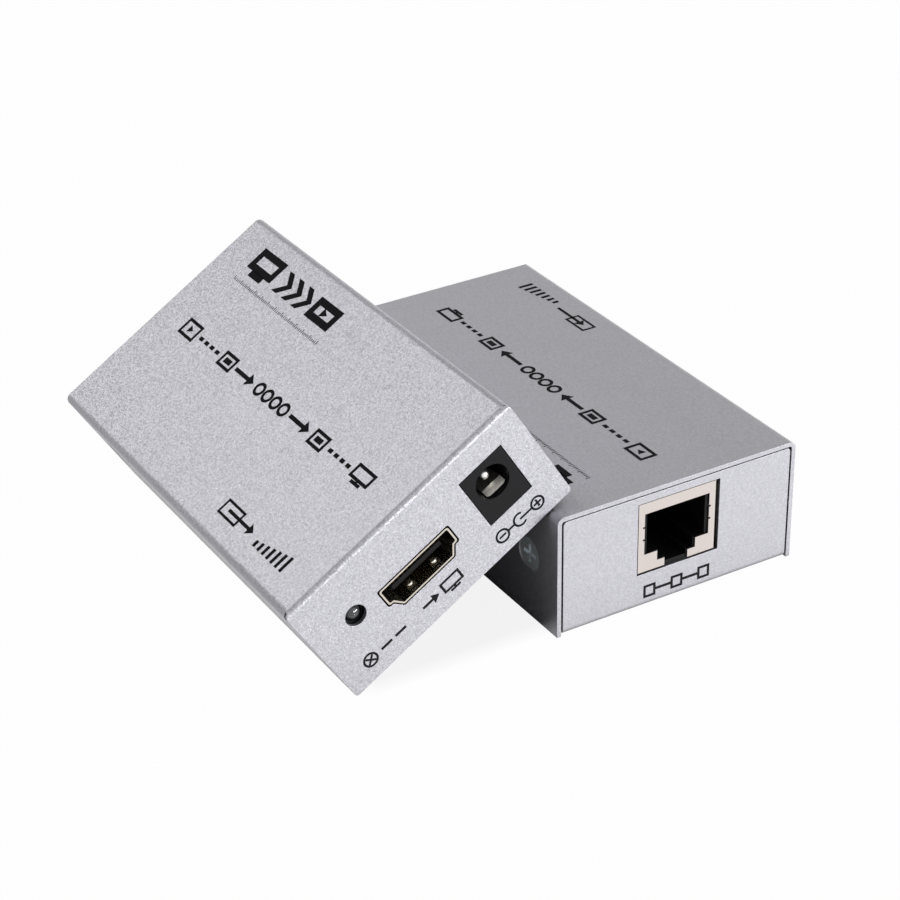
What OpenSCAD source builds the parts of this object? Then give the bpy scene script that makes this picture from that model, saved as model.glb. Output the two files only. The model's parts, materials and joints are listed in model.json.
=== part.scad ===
// A pair of video extender boxes: the transmitter leans on the receiver's long top edge.
// Both boxes are alike. In a box's own frame the origin is at the bottom centre,
// +X points to the video end, -X to the network end, and +Z is up.

/* [Case] */
// Length of a box, over its end panels
case_l = 85; // [82:1:110]
// Width of a box
case_w = 48.5; // [47:0.5:60]
// Height of a box
case_h = 23; // [22.5:0.5:30]
// Thickness of the folded sheet
sheet = 0.8; // [0.6:0.1:1]
// Outer radius of the long folds
fold_r = 1.3; // [1.1:0.1:1.5]
// Inner radius of the cover's tighter fold at the video end
end_fold_in = 0.15; // [0.1:0.05:0.3]
// Gap between the cover's sides and the base
side_gap = 0.35; // [0.2:0.05:0.5]
// Gap between the cover's top and the network panel
top_gap = 0.2; // [0.1:0.05:0.4]
// Radius of the end panels' cut corners
corner_r = 0.7; // [0.4:0.1:1]

/* [Stance] */
// Part of the transmitter's bottom that reaches past the edge it leans on
overhang = 5; // [2:0.5:8]
// Shift of the transmitter along the receiver
shift = -3; // [-10:0.5:10]
// Clearance where the transmitter leans on the receiver
lean_gap = 0.3; // [0.2:0.05:0.5]

/* [Side screws] */
// Distance of a side screw from the network end
screw_inset = 8.7; // [8:0.1:12]
// Distance of the side screws below the top
screw_drop = 11; // [9:0.5:11.5]
// Width of the dimple that takes the screw head
dimple_d = 6.3; // [5.8:0.1:7]
// Depth of the dimple
dimple_h = 1.5; // [1.3:0.1:1.8]
// Thread diameter of the side screws and board screws
thread_d = 2.9; // [2.5:0.1:3.1]

/* [Board] */
// Share of the height left free by the network jack that lies under the board
standoff_share = 0.72; // [0.65:0.01:0.8]
// Width of a standoff across its flats
standoff_w = 5; // [4.5:0.5:5.5]
// Thickness of the circuit board
board_t = 1.6; // [1.2:0.1:1.8]
// Gap between the board and the sheet round it
board_gap = 0.5; // [0.3:0.1:0.8]

/* [Video socket] */
// Width of the socket's shell at its wide upper part
video_w = 15.1; // [14.6:0.1:15.6]
// Width of the shell just below its side steps
video_neck_w = 13.4; // [13.2:0.1:13.6]
// Width of the shell's floor
video_foot_w = 11; // [10.6:0.1:11.4]
// Height of the shell
video_h = 5.55; // [5.3:0.05:5.8]
// Height of the side steps above the shell's floor
video_step = 1.9; // [1.7:0.1:2.1]
// Length of the shell
video_d = 11; // [10:0.5:12]
// Place of the socket across the box
video_y = -3.1; // [-3.6:0.1:-2.6]
// Height of the shell above the board
video_rise = 0.75; // [0.5:0.05:0.9]

/* [Power jack] */
// Width of the power jack
power_w = 9; // [8.6:0.1:9.4]
// Height of the power jack
power_h = 11; // [10.8:0.1:11.6]
// Length of the power jack
power_d = 14.2; // [13.5:0.1:15]
// Bore of the power jack
bore_d = 6.3; // [6:0.1:6.5]
// Height of the bore above the board
bore_z = 6.6; // [6.4:0.1:6.8]
// Diameter of the centre pin
pin_d = 2; // [1.6:0.1:2.5]
// Gap between the video socket and the power jack
power_space = 5.75; // [5:0.25:6.5]

/* [Network jack] */
// Width of the network jack's shield
net_w = 15.7; // [15.4:0.1:16]
// Height of the shield
net_h = 13.35; // [13:0.05:13.6]
// Length of the shield
net_d = 21.3; // [20:0.1:22]
// Place of the jack across the box
net_y = 0.3; // [-0.5:0.1:1]
// Height of the shield above the board
net_rise = 0.35; // [0.2:0.05:0.5]

/* [Status lamp] */
// Diameter of the lamp's lens
lamp_d = 3; // [2.8:0.1:3.2]
// Diameter of the hole in front of the lamp
lamp_hole_d = 3.9; // [3.6:0.1:4.2]
// Height of the lamp above the board
lamp_z = 6.2; // [5:0.2:7]
// Gap between the lamp's hole and the video socket
lamp_space = 3.1; // [2.6:0.1:3.6]

/* [Hidden] */
$fn = 48;

// Overrun of every cut
over = 1;
// Clearance of pressed and soldered fits
fit = 0.05;
// Clearance between the base's flange and the video panel
flange_gap = 0.2;
// Length of the relief slots beside the ears
relief = 0.5;
// Width and depth of the relief notches at the ends of the video end's fold
notch_w = 0.4;
notch_h = 0.7;
// Share of the space under the board that the flange at the video end fills
flange_share = 0.64;
// Width of the ears that take the side screws, and how far they rise above the screws
ear_w = 13;
ear_rise = 5.2;
// Wall of the pressed dimples, and the clearance between the cover's and the ear's
dimple_wall = 0.6;
dimple_gap = 0.15;
// How far the ears' dimples rise above the ears' inner faces
dimple_rise = 0.5;
// Clearance hole of the side screws, and how far their heads sit below the surface
screw_hole_d = 3.4;
head_sink = 0.2;
// Length of the side screws below the case side
side_screw_l = 5.5;
// Width and depth of the cross recess in the screw heads
cross_w = 0.7;
cross_h = 0.9;
cross_share = 0.56;

// The fold at the video end, and the base's edges
end_fold_r = end_fold_in + sheet;
fold_x = case_l / 2 - end_fold_r;
base_half = case_w / 2 - sheet - side_gap;
flange_x = case_l / 2 - sheet - flange_gap;
panel_top = case_h - sheet - top_gap;
screw_x = screw_inset - case_l / 2;
screw_z = case_h - screw_drop;
// Depth of the ears behind the case sides
ear_depth = sheet + side_gap;

// The board and what stands on it
standoff_h = standoff_share * (case_h - 2 * sheet - board_t - net_rise - net_h);
board_z = sheet + standoff_h;
board_top = board_z + board_t;
flange_h = fold_r + flange_share * (board_z - fold_r);
board_l = case_l - 2 * (sheet + board_gap);
board_w = 2 * (base_half - sheet - board_gap);
board_hole_d = 3.3;
// Spigots of the standoffs, pressed into the base
spigot_d = 4;
// Distance of the standoffs from the board's edges, and from the power jack
standoff_inset = 3.4;
standoff_end = 5.2;
standoff_clear = 4.8;
// Board screws: head, and the share of a standoff's height that they reach into
board_head_d = 5.4;
board_head_h = 1.8;
grip_share = 0.77;
board_screw_l = board_t + grip_share * standoff_h;

// Sheet of the connectors' shells and shields, and the corner radius of the video shell
plate = 0.3;
video_r = 0.45;
// Clearance of the panel's cut-outs round the video shell and the power jack
video_play = 0.3;
power_play = 0.15;
// Clearances of the base's cut-out round the network shield
net_play_wide = 0.85;
net_play_side = 0.15;
net_play_top = 0.1;
net_play_low = 0.45;

// The video socket's tongue and its spring fingers
tongue_w = 10.6;
tongue_t = 0.9;
tongue_inset = 1.2;
tongue_lift = 0.4;
tongue_low = board_z + board_t + video_rise + (video_h - tongue_t) / 2 + tongue_lift;
insulator_d = 2;
blade_w = 0.4;
blade_t = 0.15;
blade_l = 4.5;
blade_pitch = 1;
upper_blade_count = 10;
lower_blade_count = 9;
finger_w = 1.8;
finger_l = 5;
finger_rise = 0.5;
finger_inset = 1;
finger_space = 2.62;
finger_slit = 0.25;
leg_w = 1.8;
leg_inset = 2.2;
leg_below = 0.8;

// The power jack's inside
power_flange = 3.4;
power_body_w = 8;
bore_h = 9.6;
pin_inset = 2;
pin_tail = 0.8;
slot_w = 4.6;
slot_h = 1.7;
slot_inset = 1;
spring_w = 4;
spring_t = 0.3;
spring_root_r = 0.4;
spring_root_inset = 0.7;
spring_gap = 0.15;
spring_tip_inset = 1.3;
spring_crest_inset = 2.6;
spring_crest = 0.8;
spring_tip_drop = 0.7;
tag_w = 2.6;
tag_t = 0.5;
tag_below = 1;
tag_insets = [power_flange, power_d - power_flange];

// The network jack's window, from its middle line and from the shield's lower edge
window_w = 13.2;
window_top = 11.25;
window_low = 3.35;
step_w = 7.84;
step_low = 1.5;
latch_w = 4.74;
notch = 0.35;
notch_low = 6.1;
notch_high = 8.5;
// Its plug cavity and its contact wires
cavity_w = 11.9;
cavity_top = 11;
cavity_d = 14.5;
cavity_step_w = 7.2;
cavity_latch_w = 4.3;
cavity_floor = 0.6;
post_d = 3.2;
post_inset = 9;
post_space = 11.4;
post_below = 1;
wire_d = 0.4;
wire_pitch = 1.02;
wire_count = 8;
wire_root_r = 0.3;
wire_root_w = 0.6;
wire_root_inset = 2.6;
wire_l = 8.2;
wire_angle = 18;
wire_gap = 0.15;
net_pin_d = 0.46;
net_pin_inset = 16.5;
net_pin_row = 2.54;

// The status lamp, its holder and its leads
lamp_y = video_y - video_w / 2 - lamp_space - lamp_hole_d / 2;
lamp_sink = 0.3;
lamp_l = 4.4;
holder_w = 5;
holder_h = 8.4;
holder_l = 4.6;
holder_gap = 0.3;
lead_d = 0.5;
lead_space = 2.54;
lead_back = 1.6;
lead_x = case_l / 2 - lamp_sink - lamp_l - lead_back;

power_y = video_y + video_w / 2 + power_space + power_w / 2;
standoff_y = board_w / 2 - standoff_inset;
standoff_xs = [standoff_end - board_l / 2, case_l / 2 - power_d - standoff_clear];

// Parts on the board: their sizes, their distances behind the network jack or the video
// socket, negative beside it, and their places across the board as shares of half its width
processor = [14, 14, 1.4];
processor_gap = 3;
processor_share = -0.18;
link_chip = [8, 8, 0.9];
link_gap = 8;
link_share = -0.6;
transformer = [12.7, 7.1, 5.6];
transformer_gap = 2.5;
transformer_share = 0.12;
inductor = [7, 7, 4];
inductor_gap = 11.4;
inductor_share = 0.56;
can_d = 6.3;
can_h = 7.7;
can_gaps = [22.8, 31.9];
can_share = 0.62;
foot_share = 0.16;
crystal = [6, 3.5, 1.2];
crystal_gap = 10.5;
crystal_share = -0.8;
regulator = [6.5, 3.5, 1.6];
regulator_gap = 1.7;
regulator_share = 0.38;
chip_stand = 0.1;
leg_reach = 1;
leg_t = 0.15;
leg_width = 0.25;
leg_pitch = 1;
processor_leg_count = 12;
transformer_leg_count = 8;
// Short rows of small parts: near the network jack, and one near the video socket
chip_part = [1.6, 0.8, 0.8];
resistor = [1.6, 0.8, 0.5];
chips_in_row = 4;
chip_row_pitch = 2.2;
chip_row_gap = -11;
chip_row_shares = [0.68, 0.52, -0.5];
resistor_row_gap = 0.5;
resistor_row_shares = [0.86, -0.82];
video_row_gap = -6.2;
video_row_share = -0.72;

// The lean: the transmitter's low edge stands on the ground and its bottom touches
// the rounded top edge of the receiver
lean_reach = case_w - overhang;
lean_lift = fold_r + lean_gap;
lean = asin((case_h - fold_r) / norm([lean_reach, lean_lift])) + atan(lean_lift / lean_reach);
edge_y = fold_r - case_w / 2 - (lean_lift + (case_h - fold_r) * cos(lean)) / sin(lean);

// Placing helpers: a flat outline drawn across the box and pulled along it, and the like
module along_x(from, to) {
    translate([from, 0, 0]) rotate([90, 0, 90]) linear_extrude(to - from) children();
}

module along_y(from, to) {
    translate([0, to, 0]) rotate([90, 0, 0]) linear_extrude(to - from) children();
}

module block(size) {
    translate([-size[0] / 2, -size[1] / 2, 0]) cube(size);
}

// Places on the board for a part of some length behind the network jack or the video socket
module near_network(gap, share, length) {
    translate([net_d - case_l / 2 + gap + length / 2, share * board_w / 2, board_top]) children();
}

module near_video(gap, share, length) {
    back_x = case_l / 2 - video_d - insulator_d - leg_reach;
    translate([back_x - gap - length / 2, share * board_w / 2, board_top]) children();
}

module transmitter_place() {
    translate([shift, edge_y, 0]) rotate([lean, 0, 0]) translate([0, case_w / 2, 0]) children();
}

module receiver_place() {
    rotate([0, 0, 180]) children();
}

// A rectangle on the first axis with its two upper corners rounded
module arch(w, h, r) {
    translate([-w / 2, 0]) square([w, h - r]);
    translate([r - w / 2, 0]) square([w - 2 * r, h]);
    for (side = [-1, 1]) translate([side * (w / 2 - r), h - r]) circle(r);
}

// A rectangle on the first axis with four rounded corners
module rounded(w, h, r) {
    translate([-w / 2, r]) square([w, h - 2 * r]);
    translate([r - w / 2, 0]) square([w - 2 * r, h]);
    for (side = [-1, 1], up = [r, h - r]) translate([side * (w / 2 - r), up]) circle(r);
}

// A quarter of a bent sheet, from straight left of its centre to straight above it
module bend(r) {
    intersection() {
        difference() {
            circle(r);
            circle(r - sheet);
        }
        translate([-r, 0]) square(r);
    }
}

// A sheet's edge folded up to a height, with its outer face at zero on the first axis
module lip(height, r) {
    translate([-r, r]) rotate(180) bend(r);
    translate([-sheet, r]) square([sheet, height - r]);
}

module cylinder_between(from, to, d) {
    translate([0, 0, from]) cylinder(h = to - from, d = d);
}

// Rounding of an outline's corners
function unit(v) = v / norm(v);
function round_corner(before, at, after, r, steps) =
    let (
        u = unit(before - at),
        w = unit(after - at),
        half = acos(u * w) / 2,
        centre = at + unit(u + w) * r / sin(half),
        start = at + u * r / tan(half) - centre,
        finish = at + w * r / tan(half) - centre,
        a = atan2(start[1], start[0]),
        turn = atan2(finish[1], finish[0]) - a,
        sweep = turn > 180 ? turn - 360 : turn < -180 ? turn + 360 : turn
    )
    [for (i = [0:steps]) centre + r * [cos(a + sweep * i / steps), sin(a + sweep * i / steps)]];
function round_outline(points, r, steps = 5) =
    let (n = len(points))
    [
        for (i = [0:n - 1])
        for (p = round_corner(points[(i + n - 1) % n], points[i], points[(i + 1) % n], r, steps)) p
    ];

// Half width of the video shell's slanted foot at a height, for an outline grown by some amount
function video_foot(height, grow) =
    let (run = (video_neck_w - video_foot_w) / 2)
    video_foot_w / 2 + run * height / video_step + grow * norm([run, video_step]) / video_step;

module video_outline(grow, r) {
    wide = video_w / 2 + grow;
    neck = video_foot(video_step - grow, grow);
    foot = video_foot(-grow, grow);
    right = [[wide, video_h + grow], [wide, video_step - grow], [neck, video_step - grow], [foot, -grow]];
    left = [for (i = [len(right) - 1:-1:0]) [-right[i].x, right[i].y]];
    translate([video_y, board_top + video_rise]) polygon(round_outline(concat(right, left), r));
}

// Both long sides at the screws, with +Z going into the box
module at_side_screws() {
    for (side = [-1, 1])
        translate([screw_x, side * case_w / 2, screw_z]) rotate([side * 90, 0, 0]) children();
}

// The cone that a pressed dimple follows between two depths, grown by some amount
module dimple_cone(grow, from, to) {
    translate([0, 0, from]) cylinder(h = to - from, r1 = dimple_r(from) + grow, r2 = dimple_r(to) + grow);
}

function dimple_r(depth) = (dimple_d - (dimple_d - screw_hole_d) * depth / dimple_h) / 2;

module at_standoffs() {
    for (x = standoff_xs, side = [-1, 1]) translate([x, side * standoff_y, 0]) children();
}

// Folded cover: top, two long sides and the video panel
module cover() {
    color("gainsboro")
    difference() {
        union() {
            along_x(-case_l / 2, fold_x) difference() {
                arch(case_w, case_h, fold_r);
                translate([0, -over]) arch(case_w - 2 * sheet, case_h - sheet + over, fold_r - sheet);
            }
            intersection() {
                along_y(-case_w / 2, case_w / 2)
                    translate([case_l / 2, case_h]) mirror([0, 1]) lip(case_h, end_fold_r);
                along_x(fold_x, case_l / 2 + over) translate([0, case_h / 2]) {
                    arch(case_w, case_h / 2, fold_r);
                    mirror([0, 1]) arch(case_w, case_h / 2, corner_r);
                }
            }
            at_side_screws() dimple_cone(dimple_wall, 0, dimple_h);
        }
        along_x(case_l / 2 - sheet - over, case_l / 2 + over) {
            video_outline(video_play, video_r);
            translate([power_y - power_w / 2 - power_play, board_top - power_play])
                square([power_w + 2 * power_play, power_h + 2 * power_play]);
            translate([lamp_y, board_top + lamp_z]) circle(lamp_hole_d / 2);
        }
        for (side = [-1, 1])
            translate([fold_x + notch_w / 2, side * (case_w / 2 + over - notch_h), case_h - fold_r])
                block([notch_w, 2 * over, fold_r + over]);
        at_side_screws() dimple_cone(0, -over, dimple_h);
        at_side_screws() cylinder_between(0, dimple_h + over, screw_hole_d);
    }
}

// Folded base: bottom, network panel, low flange and two ears for the side screws
module base() {
    ear_x = screw_x - ear_w / 2;
    color("silver")
    difference() {
        union() {
            difference() {
                translate([fold_r - case_l / 2, -base_half, 0])
                    cube([flange_x - fold_r + case_l / 2 - fold_r, 2 * base_half, sheet]);
                for (side = [-1, 1])
                    translate([ear_x - relief, side * base_half - fold_r, -over])
                        cube([ear_w + 2 * relief, 2 * fold_r, sheet + 2 * over]);
            }
            for (side = [0, 1]) mirror([0, side, 0])
                along_x(ear_x, ear_x + ear_w) translate([base_half, 0]) lip(screw_z + ear_rise, fold_r);
            intersection() {
                along_y(-base_half, base_half)
                    translate([-case_l / 2, 0]) mirror([1, 0]) lip(panel_top, fold_r);
                along_x(-case_l / 2 - over, fold_r - case_l / 2) rounded(2 * base_half, panel_top, corner_r);
            }
            along_y(corner_r - base_half, base_half - corner_r)
                translate([flange_x, 0]) lip(flange_h, fold_r);
            at_side_screws()
                dimple_cone(2 * dimple_wall + dimple_gap, ear_depth, ear_depth + sheet + dimple_rise);
        }
        at_side_screws() dimple_cone(dimple_wall + dimple_gap, -over, dimple_h + dimple_gap);
        at_side_screws() cylinder_between(0, side_screw_l, thread_d + 2 * fit);
        at_standoffs() translate([0, 0, -over]) cylinder(h = sheet + 2 * over, d = spigot_d + 2 * fit);
        along_x(-case_l / 2 - over, sheet + over - case_l / 2)
            translate([net_y - net_w / 2 - net_play_wide, board_top + net_rise - net_play_low])
                square([net_w + net_play_wide + net_play_side, net_h + net_play_low + net_play_top]);
    }
}

// A cross recess cut down from the head's top face, for a head of the given width
module cross(head_d) {
    for (turn = [0, 90]) rotate([0, 0, turn])
        translate([-head_d * cross_share / 2, -cross_w / 2, -over])
            cube([head_d * cross_share, cross_w, cross_h + over]);
}

module side_screws() {
    color("dimgray")
    at_side_screws() difference() {
        union() {
            dimple_cone(-fit, head_sink, dimple_h);
            cylinder_between(head_sink, side_screw_l, thread_d);
        }
        translate([0, 0, head_sink]) cross(dimple_d);
    }
}

// Hexagonal standoffs with round spigots pressed into the base
module standoffs() {
    color("goldenrod")
    at_standoffs() difference() {
        union() {
            translate([0, 0, sheet]) cylinder(h = standoff_h, d = standoff_w / cos(30), $fn = 6);
            cylinder_between(fit, sheet, spigot_d);
        }
        cylinder_between(-over, board_z + over, thread_d + 2 * fit);
    }
}

module board_screws() {
    color("silver")
    at_standoffs() translate([0, 0, board_top]) difference() {
        union() {
            cylinder_between(0, board_head_h, board_head_d);
            cylinder_between(-board_screw_l, 0, thread_d);
        }
        translate([0, 0, board_head_h]) mirror([0, 0, 1]) cross(board_head_d);
    }
}

// Places of the pins and legs that go through the board
module at_shell_legs() {
    for (x = [leg_inset, video_d - leg_inset], side = [-1, 1])
        translate([case_l / 2 - x, video_y + side * (video_w - plate) / 2, 0]) children();
}

module at_power_tags(insets) {
    for (x = insets) translate([case_l / 2 - x, power_y, 0]) children();
}

module at_net_posts() {
    for (side = [-1, 1]) translate([post_inset - case_l / 2, net_y + side * post_space / 2, 0]) children();
}

module at_net_pins() {
    for (i = [0:wire_count - 1])
        translate([net_pin_inset + (i % 2) * net_pin_row - case_l / 2, net_y + wire_y(i), 0]) children();
}

module at_net_legs() {
    for (side = [-1, 1])
        translate([net_d / 2 - case_l / 2, net_y + side * (net_w - plate) / 2, 0]) children();
}

module at_lamp_leads() {
    for (side = [-1, 1]) translate([lead_x, lamp_y + side * lead_space / 2, 0]) children();
}

function wire_y(i) = (i - (wire_count - 1) / 2) * wire_pitch;

module board() {
    hole_h = board_t + 2 * over;
    color("darkgreen")
    difference() {
        translate([-board_l / 2, -board_w / 2, board_z]) cube([board_l, board_w, board_t]);
        translate([0, 0, board_z - over]) {
            at_standoffs() cylinder(h = hole_h, d = board_hole_d);
            at_shell_legs() block([leg_w + 2 * fit, plate + 2 * fit, hole_h]);
            at_power_tags(concat(tag_insets, power_d + tag_t / 2))
                block([tag_t + 2 * fit, tag_w + 2 * fit, hole_h]);
            at_net_posts() cylinder(h = hole_h, d = post_d + 2 * fit);
            at_net_pins() cylinder(h = hole_h, d = net_pin_d + 2 * fit);
            at_net_legs() block([leg_w + 2 * fit, plate + 2 * fit, hole_h]);
            at_lamp_leads() cylinder(h = hole_h, d = lead_d + 2 * fit);
        }
    }
}

// Profile of a spring finger of the video shell: it leaves the wall at its root,
// crests near the mouth and ends in a short turned tip
module finger_profile() {
    crest_x = finger_l - finger_inset;
    polygon([
        [0, 0], [crest_x, finger_rise], [finger_l, finger_rise - plate],
        [finger_l, finger_rise], [crest_x, finger_rise + plate], [0, plate],
    ]);
}

module at_fingers() {
    floor_z = board_top + video_rise;
    root_x = case_l / 2 - finger_inset - finger_l;
    for (side = [-1, 1], up = [0, 1])
        translate([root_x, video_y + side * finger_space, floor_z + up * video_h])
            mirror([0, 0, up]) children();
}

// Plated shell of the video socket with four spring fingers and four legs
module video_shell() {
    back_x = case_l / 2 - video_d;
    color("burlywood") {
        difference() {
            along_x(back_x, case_l / 2) video_outline(0, video_r);
            along_x(back_x - over, case_l / 2 + over) video_outline(-plate, video_r - plate / 2);
            at_fingers() translate([0, -finger_w / 2 - finger_slit, -over])
                cube([finger_l + finger_slit, finger_w + 2 * finger_slit, plate + over + fit]);
        }
        at_fingers() along_y(-finger_w / 2, finger_w / 2) finger_profile();
        at_shell_legs() translate([0, 0, board_z - leg_below])
            block([leg_w, plate, board_t + leg_below + video_rise + video_step + plate]);
    }
}

// Black insulator of the video socket: block behind the shell, plug in it, and the tongue
module video_insulator() {
    back_x = case_l / 2 - video_d;
    plug_l = video_d / 2 - tongue_inset;
    color("black") {
        along_x(back_x, back_x + plug_l) video_outline(-plate - fit, video_r - plate / 2);
        translate([back_x - insulator_d, video_y - video_neck_w / 2, board_top])
            cube([insulator_d, video_neck_w, video_rise + video_h]);
        translate([back_x, video_y - tongue_w / 2, tongue_low])
            cube([video_d - tongue_inset, tongue_w, tongue_t]);
    }
}

// Contact blades on both faces of the tongue, and their tails on the board
module video_contacts() {
    color("gold")
    for (row = [[upper_blade_count, tongue_low + tongue_t], [lower_blade_count, tongue_low - blade_t]])
    for (i = [0:row[0] - 1]) {
        y = video_y + (i - (row[0] - 1) / 2) * blade_pitch;
        translate([case_l / 2 - tongue_inset - blade_l - blade_w, y - blade_w / 2, row[1]])
            cube([blade_l, blade_w, blade_t]);
        translate([case_l / 2 - video_d - insulator_d - leg_reach, y - leg_width / 2, board_top])
            cube([leg_reach, leg_width, blade_t]);
    }
}

// Moulded power jack: square face, round-topped body, bore and the slot for its leaf spring
module power_housing() {
    color("black")
    translate([case_l / 2, power_y, board_top])
    difference() {
        union() {
            translate([-power_flange, -power_w / 2, 0]) cube([power_flange, power_w, power_h]);
            along_x(-power_d, -power_flange) {
                translate([-power_body_w / 2, 0]) square([power_body_w, bore_z]);
                translate([0, bore_z]) circle(power_body_w / 2);
            }
        }
        along_x(-bore_h, over) translate([0, bore_z]) circle(bore_d / 2);
        translate([-bore_h, -slot_w / 2, bore_z - bore_d / 2 - slot_h])
            cube([bore_h - slot_inset, slot_w, slot_h + bore_d / 2]);
        along_x(-power_d - over, 0) translate([0, bore_z]) circle(pin_d / 2 + fit);
    }
}

// Centre pin with a rounded tip, riveted to the solder tag behind the housing
module power_pin() {
    color("silver") {
        translate([case_l / 2, power_y, board_top + bore_z]) rotate([0, 90, 0]) {
            cylinder_between(-power_d - pin_tail, -pin_inset - pin_d / 2, pin_d);
            translate([0, 0, -pin_inset - pin_d / 2]) sphere(d = pin_d);
        }
        translate([case_l / 2 - power_d - tag_t / 2, power_y, board_z - tag_below])
            block([tag_t, tag_w, board_t + tag_below + bore_z + tag_w / 2]);
    }
}

// Leaf spring low in the power jack's bore, hinged at its rolled root
module power_spring() {
    bore_low = bore_z - bore_d / 2;
    root = [spring_root_inset + spring_root_r - bore_h, bore_low - slot_h + spring_root_r + spring_gap];
    // The leaf's upper line from the root over the crest to the tip
    top_line = [
        root + [0, spring_t / 2],
        [-spring_crest_inset - spring_crest, bore_low + spring_crest - spring_t],
        [-spring_crest_inset, bore_low + spring_crest],
        [-spring_tip_inset, bore_low + spring_crest - spring_tip_drop],
    ];
    low_line = [for (p = top_line) p - [0, spring_t]];
    color("beige")
    translate([case_l / 2, power_y, board_top]) along_y(-spring_w / 2, spring_w / 2) {
        translate(root) circle(spring_root_r);
        polygon(concat(low_line, [for (i = [len(top_line) - 1:-1:0]) top_line[i]]));
    }
}

// Flat solder tags under the power jack
module power_tags() {
    color("silver")
    at_power_tags(tag_insets) translate([0, 0, board_z - tag_below])
        block([tag_t, tag_w, board_t + tag_below]);
}

// The stepped window of the network jack, from the shield's lower edge
module net_window() {
    translate([-window_w / 2, window_low]) square([window_w, window_top - window_low]);
    translate([-step_w / 2, step_low]) square([step_w, window_top - step_low]);
    translate([-latch_w / 2, -over]) square([latch_w, window_top + over]);
    for (side = [-1, 1], up = [notch_low, notch_high])
        translate([side * window_w / 2 - notch, up]) square([2 * notch, notch]);
}

// Plated shield round the network jack, open below
module network_shield() {
    low = board_top + net_rise;
    color("wheat") {
        difference() {
            translate([-case_l / 2, net_y - net_w / 2, low]) cube([net_d, net_w, net_h]);
            translate([plate - case_l / 2, net_y - net_w / 2 + plate, low - over])
                cube([net_d - 2 * plate, net_w - 2 * plate, net_h - plate + over]);
            along_x(-case_l / 2 - over, plate + over - case_l / 2) translate([net_y, low]) net_window();
        }
        at_net_legs() translate([0, 0, board_z - leg_below])
            block([leg_w, plate, board_t + leg_below + net_rise + plate]);
    }
}

// Black housing of the network jack with its stepped plug cavity and two board posts
module network_housing() {
    low = board_top + net_rise;
    front_x = plate + fit - case_l / 2;
    half = net_w / 2 - plate - fit;
    color("black")
    difference() {
        union() {
            translate([front_x, net_y - half, board_top])
                cube([net_d - 2 * (plate + fit), 2 * half, net_rise + net_h - plate - fit]);
            at_net_posts() translate([0, 0, board_z - post_below])
                cylinder(h = board_t + post_below + net_rise, d = post_d);
        }
        along_x(-case_l / 2, cavity_d - case_l / 2) translate([net_y, low]) {
            translate([-cavity_w / 2, window_low]) square([cavity_w, cavity_top - window_low]);
            translate([-cavity_step_w / 2, step_low]) square([cavity_step_w, cavity_top - step_low]);
            translate([-cavity_latch_w / 2, cavity_floor])
                square([cavity_latch_w, cavity_top - cavity_floor]);
        }
    }
}

// Eight sprung contact wires, hinged at their roots under the front of the ceiling
module network_wires() {
    root_z = board_top + net_rise + cavity_top - wire_gap - wire_root_r;
    color("gold")
    for (i = [0:wire_count - 1])
        translate([wire_root_inset - case_l / 2, net_y + wire_y(i), root_z]) {
            rotate([90, 0, 0]) cylinder_between(-wire_root_w / 2, wire_root_w / 2, 2 * wire_root_r);
            rotate([0, 90 + wire_angle, 0]) cylinder(h = wire_l, d = wire_d);
        }
}

module network_pins() {
    color("gold")
    at_net_pins() translate([0, 0, board_z - leg_below]) cylinder(h = board_t + leg_below, d = net_pin_d);
}

// Domed status lamp behind its hole in the video panel
module lamp() {
    color("slategray")
    translate([case_l / 2 - lamp_sink, lamp_y, board_top + lamp_z]) rotate([0, 90, 0]) {
        translate([0, 0, -lamp_d / 2]) sphere(d = lamp_d);
        cylinder_between(-lamp_l, -lamp_d / 2, lamp_d);
    }
}

module lamp_holder() {
    front_x = case_l / 2 - sheet - holder_gap;
    color("black")
    difference() {
        translate([front_x - holder_l, lamp_y - holder_w / 2, board_top])
            cube([holder_l, holder_w, holder_h]);
        translate([front_x - holder_l - over, lamp_y, board_top + lamp_z]) rotate([0, 90, 0])
            cylinder(h = holder_l + 2 * over, d = lamp_d + 2 * fit);
    }
}

// Two bent leads from the lamp's back down through the board
module lamp_leads() {
    color("silver")
    at_lamp_leads() {
        translate([0, 0, board_z - leg_below]) cylinder(h = board_t + leg_below + lamp_z, d = lead_d);
        translate([0, 0, board_top + lamp_z]) {
            sphere(d = lead_d);
            rotate([0, 90, 0]) cylinder(h = lead_back, d = lead_d);
        }
    }
}

module at_processor() {
    near_video(processor_gap, processor_share, processor.x) children();
}

module at_transformer() {
    near_network(transformer_gap, transformer_share, transformer.x) children();
}

// One row of bent legs along a chip's edge that faces +X
module leg_row(size, count, pitch) {
    knee_z = chip_stand + size[2] / 2;
    for (i = [0:count - 1])
        translate([size[0] / 2, (i - (count - 1) / 2) * pitch, 0]) along_y(-leg_width / 2, leg_width / 2)
            polygon([
                [0, knee_z], [leg_reach / 2, knee_z], [leg_reach / 2, leg_t], [leg_reach, leg_t],
                [leg_reach, 0], [leg_reach / 2 - leg_t, 0],
                [leg_reach / 2 - leg_t, knee_z - leg_t], [0, knee_z - leg_t],
            ]);
}

module processor() {
    color("darkslategray") at_processor() translate([0, 0, chip_stand]) block(processor);
}

module link_chip() {
    color("darkslategray") near_network(link_gap, link_share, link_chip.x) block(link_chip);
}

module chip_legs() {
    turned = [transformer[1], transformer[0], transformer[2]];
    color("silver") {
        at_processor() for (turn = [0:90:270]) rotate([0, 0, turn])
            leg_row(processor, processor_leg_count, leg_pitch);
        at_transformer() for (turn = [90, 270]) rotate([0, 0, turn])
            leg_row(turned, transformer_leg_count, leg_pitch);
    }
}

module transformer() {
    color("black") at_transformer() translate([0, 0, chip_stand]) block(transformer);
}

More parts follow.
